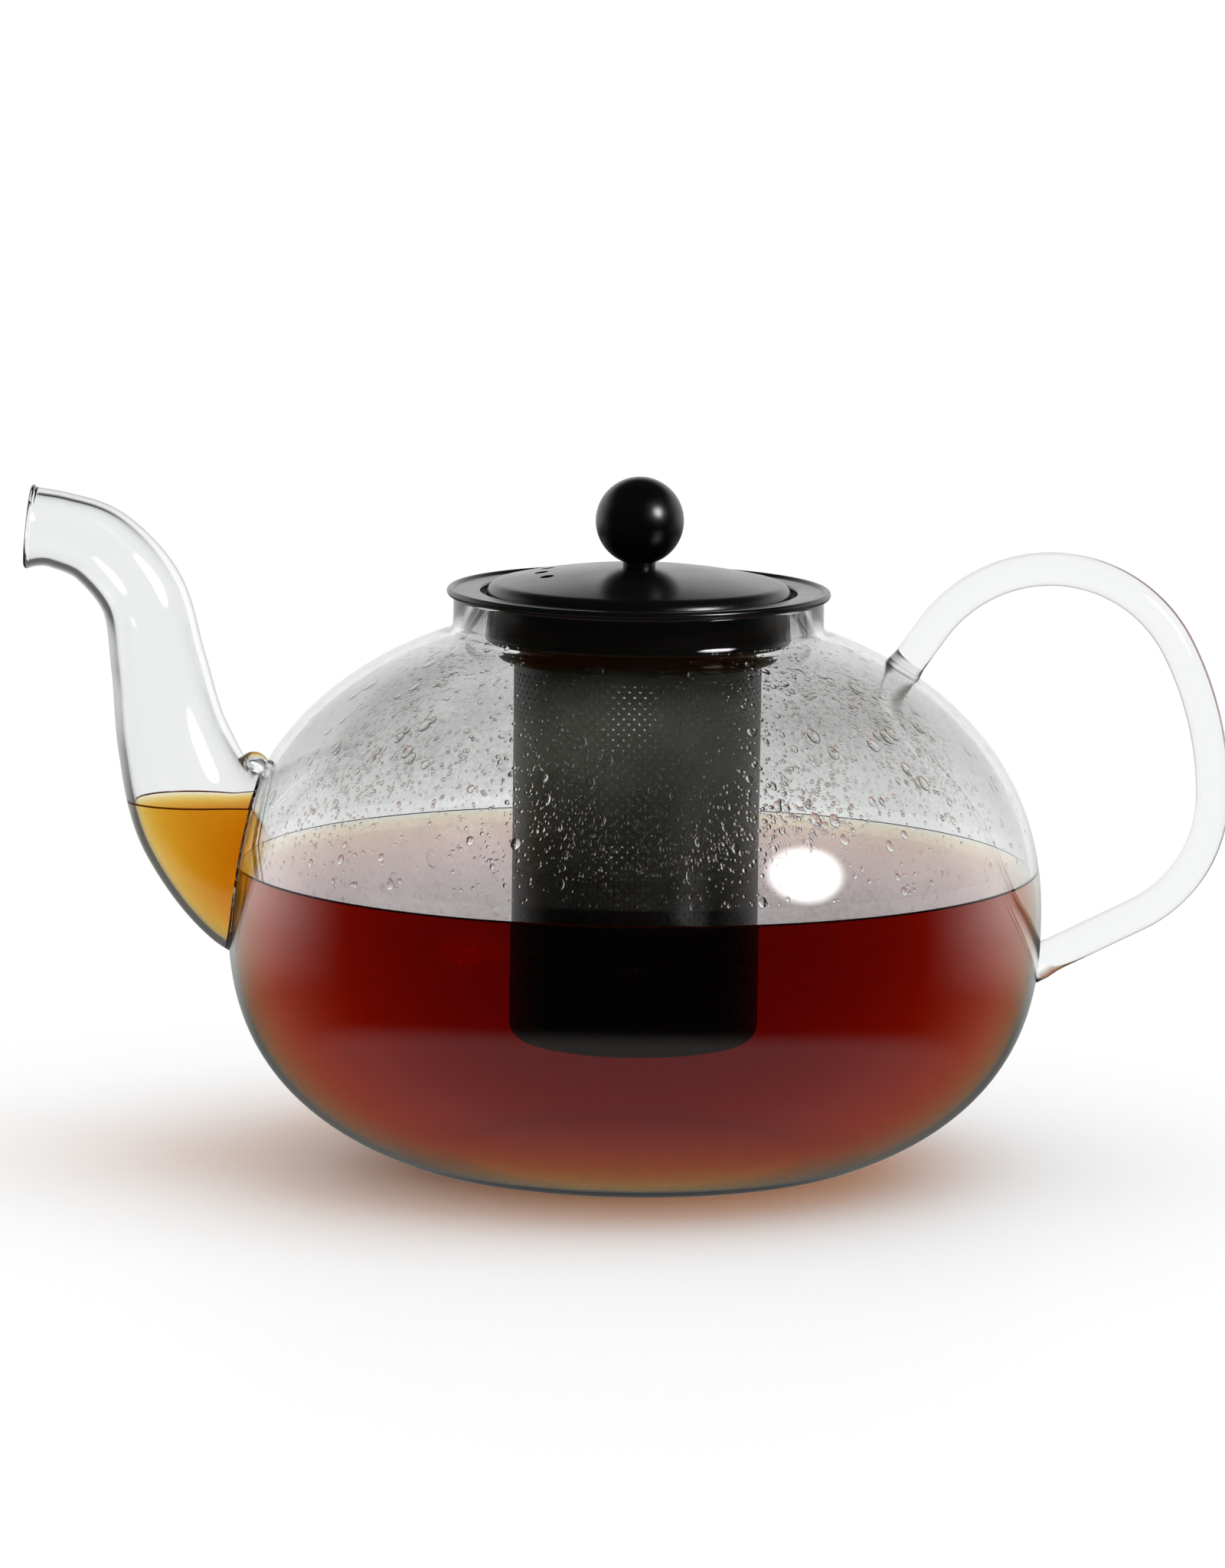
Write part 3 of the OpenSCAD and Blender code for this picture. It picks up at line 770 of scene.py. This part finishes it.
def painted_shade_line(name, loop, r, material):
    """A thin dark ring along a level loop of points, painted shade for the liquid's edge."""
    centre = np.mean(loop, axis=0)
    turns = np.arctan2(loop[:, 1] - centre[1], loop[:, 0] - centre[0])
    loop = loop[np.argsort(turns)]
    rings = []
    for point in loop:
        out = (point - centre) / np.linalg.norm(point - centre)
        rings.append([
            tuple(point + r * (math.cos(a) - 1) * out + np.array([0, 0, r * math.sin(a)]))
            for a in np.linspace(0, 2 * math.pi, 9)[:-1]
        ])
    place(skin(name, rings, loop=True), "pot", "black_tea", material)


def loop_at(piece, z):
    """The points of a piece at a height, but for the pole in their middle."""
    points = np.array([v.co for v in piece.data.vertices])
    level = points[np.abs(points[:, 2] - z) < 0.01 * MM]
    return level[np.linalg.norm(level - level.mean(axis=0), axis=1) > 3 * MM]


painted_shade_line("tea_edge_painted_shade_in_bowl", loop_at(tea, TEA_Z), EDGE_IN_BOWL, painted_meniscus_shade)
painted_shade_line(
    "tea_edge_painted_shade_in_spout", loop_at(spout_tea, SPOUT_TEA_Z), EDGE_IN_SPOUT, painted_spout_meniscus_shade,
)

# %% [markdown]
# ## The infuser
# The collar is one pressing: rolled edge, flat flange, recess, straight wall and
# a bend into the tube. The tube is sheet with fine etched holes, rolled up.
# A painted pattern would stay black against the light, so the holes are real
# openings in staggered rows. They are 2.4 mm apart and coarser than the real
# ones, and the nine rows at the top are wider, where the real ones show most.

# %% Press the collar
SHEET_T = 0.7 * MM
EDGE_R = 0.9 * MM
FLANGE_TOP = RIM_Z + 0.15 * MM + SHEET_T
RECESS_R, RECESS_DEEP, LEDGE_W = 35.9 * MM, 2.15 * MM, 2 * MM
LEDGE_Z = FLANGE_TOP - RECESS_DEEP
COLLAR_R = RECESS_R - LEDGE_W
BEND_R = 5.9 * MM
SOFT = 0.5 * MM
bend_c = (COLLAR_R + SHEET_T - BEND_R, COLLAR_FLOOR + BEND_R)
edge_c = (FLANGE_R - EDGE_R, FLANGE_TOP - SHEET_T / 2)
edge_half = math.degrees(math.asin(SHEET_T / 2 / EDGE_R))
collar_outline = (
    [(TUBE_R, COLLAR_FLOOR)]
    + arc(bend_c, BEND_R, -90, 0, 14)
    + arc((COLLAR_R + SHEET_T + 0.4 * MM, LEDGE_Z - SHEET_T - 0.4 * MM), 0.4 * MM, 180, 90, 4)
    + arc((RECESS_R + SHEET_T - SOFT, LEDGE_Z - SHEET_T + SOFT), SOFT, -90, 0, 4)
    + arc((RECESS_R + SHEET_T + 0.2 * MM, FLANGE_TOP - SHEET_T - 0.2 * MM), 0.2 * MM, 180, 90, 3)
    + arc(edge_c, EDGE_R, 180 + edge_half, 540 - edge_half, 24)
    + arc((RECESS_R + SOFT, FLANGE_TOP - SOFT), SOFT, 90, 180, 5)
    + [(RECESS_R, LEDGE_Z)]
    + arc((COLLAR_R + SOFT, LEDGE_Z - SOFT), SOFT, 90, 180, 5)
    + arc(bend_c, BEND_R - SHEET_T, 0, -90, 14)
    + [(TUBE_R + SHEET_T, COLLAR_FLOOR + SHEET_T), (TUBE_R + SHEET_T, TUBE_TOP)]
    + [(TUBE_R, TUBE_TOP)]
)
collar = lathe("infuser_collar_pressed", collar_outline, 160, loop=True)
place(collar, "infuser", "black_coated_steel", coated_steel, "infuser_collar")

# %% Etch and roll the tube
HOLE_PITCH, ROW_PITCH = 2.4 * MM, 1.2 * MM
HOLE_R, TOP_HOLE_R, TOP_ROWS = 0.24 * MM, 0.42 * MM, 9
TUBE_SHEET = 0.5 * MM
LOW_MARGIN, TOP_MARGIN = 3 * MM, 4 * MM
BEND_AT_FLOOR = 4 * MM


def perforated_tube(name, r, sheet, low, top):
    """A tube with a hole in every cell of a staggered grid. Each hole has six sides."""
    columns = round(2 * math.pi * r / HOLE_PITCH)
    half = math.pi / columns
    first, last = low + LOW_MARGIN, top - TOP_MARGIN
    rows = int((last - first) / ROW_PITCH)
    first = last - rows * ROW_PITCH
    levels = [low, *[first + j * ROW_PITCH for j in range(rows + 1)], top]
    line = 2 * columns
    points, faces = [], []

    def point(angle, z, radius):
        points.append((radius * math.cos(angle), radius * math.sin(angle), z))
        return len(points) - 1

    grid = [
        [[point(m * half, z, radius) for m in range(line)] for z in levels]
        for radius in (r, r - sheet)
    ]
    for j in range(len(levels) - 1):
        plain = j in (0, len(levels) - 2)
        for m in range(0, line, 1 if plain else 2):
            if plain:
                n = (m + 1) % line
                for side in grid:
                    faces.append((side[j][m], side[j][n], side[j + 1][n], side[j + 1][m]))
                continue
            mid = (m + j % 2) % line
            spots = [
                (j, mid - 1), (j, mid), (j, mid + 1),
                (j + 1, mid + 1), (j + 1, mid), (j + 1, mid - 1),
            ]
            centre_z = (levels[j] + levels[j + 1]) / 2
            hole = TOP_HOLE_R if j > rows - TOP_ROWS else HOLE_R
            loops = []
            for side, radius in zip(grid, (r, r - sheet)):
                loops.append([
                    point(
                        mid * half + hole / r * math.cos(a),
                        centre_z + hole * math.sin(a), radius,
                    )
                    for a in np.radians([210, 270, 330, 30, 90, 150])
                ])
                for k in range(6):
                    n = (k + 1) % 6
                    (ja, ma), (jb, mb) = spots[k], spots[n]
                    near, far = side[ja][ma % line], side[jb][mb % line]
                    faces.append((near, far, loops[-1][n], loops[-1][k]))
            for k in range(6):
                n = (k + 1) % 6
                faces.append((loops[0][k], loops[0][n], loops[1][n], loops[1][k]))
    for j in (0, len(levels) - 1):
        for m in range(line):
            n = (m + 1) % line
            faces.append((grid[0][j][m], grid[0][j][n], grid[1][j][n], grid[1][j][m]))
    mesh = bpy.data.meshes.new(name)
    mesh.from_pydata(points, [], faces)
    print(f"{rows} rows of {columns} holes, {2 * HOLE_R / MM:.2f} mm wide")
    return finish_mesh(name, mesh)


tube = perforated_tube(
    "infuser_tube_perforated", TUBE_R, TUBE_SHEET, TUBE_LOW + BEND_AT_FLOOR, TUBE_TOP,
)
place(tube, "infuser", "perforated_steel", coated_mesh, "infuser_tube")

# %% [markdown]
# ## The infuser's floor
# The tube's lower edge is spun in over a round former, and a flat disc is
# welded into it. The turned edge has no holes, because spinning would tear
# them, so it is a lathe piece of its own that takes over from the tube.

# %% Press the floor
FLOOR_LIP, DISC_BEVEL = 2 * MM, (0.3 * MM, 0.2 * MM)
floor_r = TUBE_R - BEND_AT_FLOOR - FLOOR_LIP
floor_c = (TUBE_R - BEND_AT_FLOOR, TUBE_LOW + BEND_AT_FLOOR)
turned_in = (
    arc(floor_c, BEND_AT_FLOOR, 0, -90, 10)
    + [(floor_r, TUBE_LOW), (floor_r, TUBE_LOW + TUBE_SHEET)]
    + arc(floor_c, BEND_AT_FLOOR - TUBE_SHEET, -90, 0, 10)
)
turned = lathe("infuser_tube_turned_edge", turned_in, 128)
place(turned, "infuser", "perforated_steel", coated_mesh)
disc = [
    (0, TUBE_LOW), (floor_r - DISC_BEVEL[0], TUBE_LOW),
    (floor_r, TUBE_LOW + DISC_BEVEL[1]),
    (floor_r, TUBE_LOW + TUBE_SHEET), (0, TUBE_LOW + TUBE_SHEET),
]
base = lathe("infuser_base_disc", disc, 128)
place(base, "infuser", "perforated_steel", coated_mesh, "infuser_base")

# %% [markdown]
# ## The lid
# The dome is pressed from sheet to a large radius, and its rim is turned down
# over a small one. Three steam vents are punched through it, so they are cut
# after the pressing, as in the press shop. The skirt is a rolled ring, spot
# welded underneath, and it keeps the lid centred. The ball is turned and
# polished, and a screw from below holds it. The skirt, the stem, the washer
# and the screw hardly show: they keep the frame's own shape.

# %% Press the lid
LID_SHEET = 0.7 * MM
DOME_R, RIM_BEND, RIM_H = 142 * MM, 3 * MM, 1 * MM
rim_c = (LID_R - RIM_BEND, LID_Z + RIM_H)
dome_c = (0.0, rim_c[1] - math.sqrt((DOME_R - RIM_BEND) ** 2 - rim_c[0] ** 2))
dome_edge = math.degrees(math.acos(rim_c[0] / (DOME_R - RIM_BEND)))
HOLE_FOR_SCREW = 2.2 * MM
hole_angle = math.degrees(math.acos(HOLE_FOR_SCREW / DOME_R))
dome_outline = (
    [(LID_R, LID_Z)]
    + arc(rim_c, RIM_BEND, 0, dome_edge, 12)
    + arc(dome_c, DOME_R, dome_edge, hole_angle, 40)[1:]
    + arc(dome_c, DOME_R - LID_SHEET, hole_angle, dome_edge, 40)
    + arc(rim_c, RIM_BEND - LID_SHEET, dome_edge, 0, 12)[1:]
    + [(LID_R - LID_SHEET, LID_Z)]
)
dome = lathe("lid_dome_pressed", dome_outline, 192, loop=True)
VENT_R, VENTS_IN, VENT_TURN = 1.6 * MM, 12.4 * MM, 20
for turn in (-VENT_TURN, 0, VENT_TURN):
    top = 2 * DOME_TOP
    punch = lathe("punch", [(0, 0), (VENT_R, 0), (VENT_R, top), (0, top)], 32)
    reach = Matrix.Translation((VENTS_IN - LID_R, 0, 0))
    punch.data.transform(Matrix.Rotation(math.radians(turn), 4, "Z") @ reach)
    cut(dome, punch)
place(dome, "lid", "black_coated_steel", coated_steel, "lid_dome")

# %% Turn the ball
ball_outline = arc((0, BALL_Z), BALL_R, -90, 90, 48)
ball_outline[0], ball_outline[-1] = (0, BALL_Z - BALL_R), (0, BALL_Z + BALL_R)
ball = lathe("knob_ball_turned", ball_outline, 96)
place(ball, "lid", "black_phenolic", phenolic, "knob_ball")

# %% Finish the nodes that keep their own shape
for node, finish in (
    ("lid_skirt", coated_steel), ("knob_stem", phenolic),
    ("knob_washer", stainless), ("knob_screw", stainless), ("spout_weld", glass),
):
    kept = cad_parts[node]
    kept.data.materials.clear()
    kept.data.materials.append(finish)

# %% [markdown]
# ## Mist and drops
# Steam condenses on the cool glass above the tea. The finest mist is a film
# just inside the wall. The drops are real beads, flat against the glass, and
# the bigger ones sag a little. A bump map could suggest them, but it would
# not show each drop's own bright and dark side. Drops grow where the glass
# stays coolest, so most of them are thrown into patches and the rest evenly.

# %% Breathe on the glass
FOG_LOW, FOG_INSET = TEA_Z + 2 * MM, GLASS_WALL + 0.15 * MM
fog_line = [p for p in bowl_face(FOG_INSET, FOOT_WALL) if p[1] > FOG_LOW]
film = lathe("condensation_film", fog_line, 160)
place(film, "pot", "borosilicate_glass", fog)

# %% Scatter the drops
SEED = 7
FLATNESS = 0.3
NO_EDGES = 180
dice = random.Random(SEED)


def bead(subdivisions):
    """A unit icosphere as arrays of points and faces."""
    bm = bmesh.new()
    bmesh.ops.create_icosphere(bm, subdivisions=subdivisions, radius=1)
    points = np.array([v.co for v in bm.verts])
    faces = np.array([[v.index for v in f.verts] for f in bm.faces])
    bm.free()
    return points, faces


DROPS_FROM, DROPS_TO = TEA_Z + 4 * MM, RIM_Z - 9 * MM
face_points = bowl_face(GLASS_WALL, FOOT_WALL, 200)
face_line = np.array([p for p in face_points if DROPS_FROM < p[1] < DROPS_TO])
face_steps = np.linalg.norm(np.diff(face_line, axis=0), axis=1)
face_run = np.concatenate([[0], np.cumsum(face_steps)])


def on_glass(run, angle):
    """The place and the inward normal on the bowl's inner face."""
    i = min(max(np.searchsorted(face_run, run), 1), len(face_line) - 1)
    share = (run - face_run[i - 1]) / (face_run[i] - face_run[i - 1])
    r, z = face_line[i - 1] + share * (face_line[i] - face_line[i - 1])
    dr, dz = face_line[i] - face_line[i - 1]
    length = math.hypot(dr, dz)
    normal = np.array(
        [-dz / length * math.cos(angle), -dz / length * math.sin(angle), dr / length]
    )
    return np.array([r * math.cos(angle), r * math.sin(angle), z]), normal


# each patch of drops: angle and its spread in degrees, height and its spread in mm
PATCHES = [
    (-144, 9, 90, 9), (-138, 9, 100, 8), (-150, 10, 116, 5), (-99, 9, 87, 6),
    (-79, 7, 84, 6), (-104, 12, 101, 6),
    (-60, 8, 100, 9), (-66, 6, 92, 6), (-36, 8, 97, 7), (-48, 10, 112, 5), (-28, 12, 112, 5),
    (40, 20, 95, 10), (95, 25, 100, 10), (150, 20, 98, 10),
]
height_of = face_line[:, 1]
STRAY_SHARE, STRAY_POWER = 0.3, 0.8


def pick():
    """A run along the face and an angle: most drops lie in the patches."""
    if dice.random() < STRAY_SHARE:
        run = face_run[-1] * (1 - (1 - dice.random()) ** STRAY_POWER)
        return run, dice.uniform(0, 2 * math.pi)
    angle, spread, z, z_spread = dice.choice(PATCHES)
    z = min(max(dice.gauss(z, z_spread) * MM, height_of[0]), height_of[-1])
    return float(np.interp(z, height_of, face_run)), math.radians(dice.gauss(angle, spread))


def scatter(name, count, low, high, power, shape, subdivisions):
    """Beads of water on the inner face. Sizes lean to the small end by the power."""
    unit_points, unit_faces = bead(subdivisions)
    points, faces = [], []
    for i in range(count):
        run, angle = pick()
        size = low + (high - low) * dice.random() ** power
        spot, normal = on_glass(run, angle)
        side = np.array([-math.sin(angle), math.cos(angle), 0])
        down = np.cross(normal, side)
        sag = 1 + shape * (size / high) * dice.uniform(0.4, 1.2)
        axes = np.array([side * size, down * size * sag, normal * size * FLATNESS])
        points.append(unit_points @ axes + spot)
        faces.append(unit_faces + i * len(unit_points))
    mesh = bpy.data.meshes.new(name)
    all_points, all_faces = np.concatenate(points), np.concatenate(faces)
    mesh.from_pydata(all_points.tolist(), [], all_faces.tolist())
    return finish_mesh(name, mesh, NO_EDGES)


fine = scatter("condensation_fine", 6500, 0.2 * MM, 0.55 * MM, 2.0, 0.2, 2)
place(fine, "pot", "borosilicate_glass", water_drop)
large = scatter("condensation_drops", 260, 0.6 * MM, 1.5 * MM, 2.6, 0.6, 3)
place(large, "pot", "borosilicate_glass", water_drop)

# %% [markdown]
# ## The studio floor
# A white laminate table runs into a white surround. It catches the shadow and
# the glow, but it is hidden from mirrored light and from light that comes
# through the glass: a white floor would put a grey haze over the tea, which a
# product studio avoids with black cards. It is in two pieces, one in front.

# %% Floor
floor_finish = principled(
    "studio_floor_white_laminate", {"Base Color": colour("#f7f7f7"), "Roughness": 0.6},
)[0]
FLOOR, FRONT, TABLE_EDGE = 12.0, -3.0, -0.1
# the floor lies this far under the foot, so that the two faces don't flicker
FLOOR_DROP = 0.05 * MM


def floor_piece(name, near, far):
    """A level rectangle from one y to another."""
    mesh = bpy.data.meshes.new(name)
    corners = [(-FLOOR, near, 0), (FLOOR, near, 0), (FLOOR, far, 0), (-FLOOR, far, 0)]
    mesh.from_pydata(corners, [], [(0, 1, 2, 3)])
    mesh.materials.append(floor_finish)
    piece = bpy.data.objects.new(name, mesh)
    bpy.context.scene.collection.objects.link(piece)
    piece.location.z = -FLOOR_DROP
    return piece


table = floor_piece("studio_floor", TABLE_EDGE, FLOOR)
apron = floor_piece("studio_floor_front", FRONT, TABLE_EDGE)
for part in (table, apron):
    part.visible_glossy = False
    part.visible_transmission = False


# %% [markdown]
# ## The surround
# Glass shows what is around it, so the surround does most of the lighting.
# Real cards and lamps could stand round the pot, but they would show in other
# views. One world does it instead, by what a ray has met on its way. A ray
# that goes straight, or through glass, sees white. A mirrored one sees the
# room: dark in front and overhead, so that black steel stays black, bright
# behind, and a round softbox at the right front for the highlight. A
# scattered one gets an even level, which is what fills the shadows.

# %% Surround
SOFTBOX = (0.728, -0.545, 0.416)
SOFTBOX_EDGE, SOFTBOX_CORE, SOFTBOX_LEVEL = math.radians(13), math.radians(2), 26.0
AMBIENT, BACKDROP = 0.8, 1.0


def make_world():
    world = bpy.data.worlds.new("studio")
    bpy.context.scene.world = world
    world.use_nodes = True
    tree = world.node_tree
    tree.nodes.clear()
    where = add(tree, "ShaderNodeTexCoord").outputs["Generated"]
    axes = add(tree, "ShaderNodeSeparateXYZ", {"Vector": where})
    table = add(
        tree, "ShaderNodeMapRange",
        {"Value": axes.outputs["Z"], "From Min": -0.53, "From Max": -0.4,
         "To Min": 0.28, "To Max": 0.01},
        interpolation_type="SMOOTHSTEP",
    )
    wall = add(
        tree, "ShaderNodeMapRange",
        {"Value": axes.outputs["Z"], "From Min": -0.3, "From Max": -0.04,
         "To Min": 0.12, "To Max": 1.0},
        interpolation_type="SMOOTHSTEP",
    )
    back = add(
        tree, "ShaderNodeMapRange",
        {"Value": axes.outputs["Y"], "From Min": -0.05, "From Max": 0.65,
         "To Min": table.outputs["Result"], "To Max": wall.outputs["Result"]},
        interpolation_type="SMOOTHSTEP",
    )
    low = add(
        tree, "ShaderNodeMapRange",
        {"Value": axes.outputs["Z"], "From Min": 0.3, "From Max": 0.65,
         "To Min": 1.0, "To Max": 0.02},
        interpolation_type="SMOOTHSTEP",
    )
    seen = add(
        tree, "ShaderNodeMath",
        {0: back.outputs["Result"], 1: low.outputs["Result"]}, operation="MULTIPLY",
    )
    towards = add(
        tree, "ShaderNodeVectorMath", {0: where, 1: SOFTBOX}, operation="DOT_PRODUCT",
    )
    lamp = add(
        tree, "ShaderNodeMapRange",
        {"Value": towards.outputs["Value"], "From Min": math.cos(SOFTBOX_EDGE),
         "From Max": math.cos(SOFTBOX_CORE), "To Min": 0.0, "To Max": SOFTBOX_LEVEL},
        interpolation_type="SMOOTHSTEP",
    )
    mirrored = add(
        tree, "ShaderNodeMath",
        {0: seen.outputs["Value"], 1: lamp.outputs["Result"]}, operation="ADD",
    )
    path = add(tree, "ShaderNodeLightPath")
    bounced = add(
        tree, "ShaderNodeMath",
        {0: path.outputs["Glossy Depth"], 1: 0.5}, operation="GREATER_THAN",
    )
    scattered = add(
        tree, "ShaderNodeMath",
        {0: path.outputs["Diffuse Depth"], 1: 0.5}, operation="GREATER_THAN",
    )
    straight = add(
        tree, "ShaderNodeMix",
        {0: bounced.outputs["Value"], 2: BACKDROP, 3: mirrored.outputs["Value"]},
    )
    level = add(
        tree, "ShaderNodeMix",
        {0: scattered.outputs["Value"], 2: straight.outputs[0], 3: AMBIENT},
    )
    shader = add(
        tree, "ShaderNodeBackground",
        {"Color": colour("#ffffff"), "Strength": level.outputs[0]},
    )
    add(tree, "ShaderNodeOutputWorld", {"Surface": shader.outputs["Background"]})


make_world()


# %% [markdown]
# ## Light that takes the tea's colour
# Light that has come through tea is orange, and it tints the table round the
# pot. Following it through glass and liquid is slow and noisy. Two lamps from
# the same direction do it: their colours add up to white, and only the second,
# the blue-green one, is stopped by the tea. So open table gets white light,
# and the pot's shadow keeps the warm part. Steel stops both.

# %% Sunlight that takes the tea's colour
def wide_lamp(name, direction, tint, level, spread, blockers):
    """A broad far lamp that only the named pieces stop."""
    data = bpy.data.lights.new(name, "SUN")
    data.angle = math.radians(spread)
    data.color = colour(tint)[:3]
    data.energy = level
    lamp = bpy.data.objects.new(name, data)
    bpy.context.scene.collection.objects.link(lamp)
    lamp.rotation_euler = (-Vector(direction)).to_track_quat("-Z", "Y").to_euler()
    lamp.visible_glossy = False
    lamp.visible_transmission = False
    group = bpy.data.collections.new(name + "_blockers")
    for piece in blockers:
        group.objects.link(piece)
    lamp.light_linking.blocker_collection = group
    return lamp


steel = [collar, tube, turned, base, dome, ball]
OVERHEAD, OVERHEAD_LEVEL, OVERHEAD_SPREAD = (0.4, 0.0, 1.0), 1.3, 60
# linear red 1 + 0, green 0.43 + 0.56, blue 0.16 + 0.84: together white
WARM, COOL = "#ffb070", "#00c6ec"
wide_lamp("overhead_warm", OVERHEAD, WARM, OVERHEAD_LEVEL, OVERHEAD_SPREAD, steel)
wide_lamp(
    "overhead_cool", OVERHEAD, COOL, OVERHEAD_LEVEL, OVERHEAD_SPREAD,
    [*steel, tea, spout_tea],
)

# %% [markdown]
# ## The camera and the tone
# A long lens two metres away, a little above the pot, keeps the ellipses of
# the rim and the tea shallow and the sides upright. The standard view keeps
# colours as they were set. Glass, tea and drops lie behind each other, so a
# ray needs many bounces before it comes out.

# %% Camera
LENS, CLIP_END, BOUNCES = 204.4, 20, 24
camera_data = bpy.data.cameras.new("camera")
camera_data.lens = LENS
camera_data.clip_end = CLIP_END
camera = bpy.data.objects.new("camera", camera_data)
bpy.context.scene.collection.objects.link(camera)
AIM = Vector((-5.4 * MM, 0, 86.8 * MM))
DISTANCE, ELEVATION, ROLL = 2.022, math.radians(8.5), math.radians(0.75)
stand = AIM + DISTANCE * Vector((0, -math.cos(ELEVATION), math.sin(ELEVATION)))
camera.matrix_world = (AIM - stand).to_track_quat("-Z", "Y").to_matrix().to_4x4()
camera.location = stand
camera.rotation_euler.rotate_axis("Z", ROLL)
bpy.context.scene.camera = camera

# %% Light paths and tone
scene = bpy.context.scene
scene.view_settings.view_transform = "Standard"
scene.cycles.max_bounces = BOUNCES
scene.cycles.transmission_bounces = BOUNCES
scene.cycles.transparent_max_bounces = BOUNCES
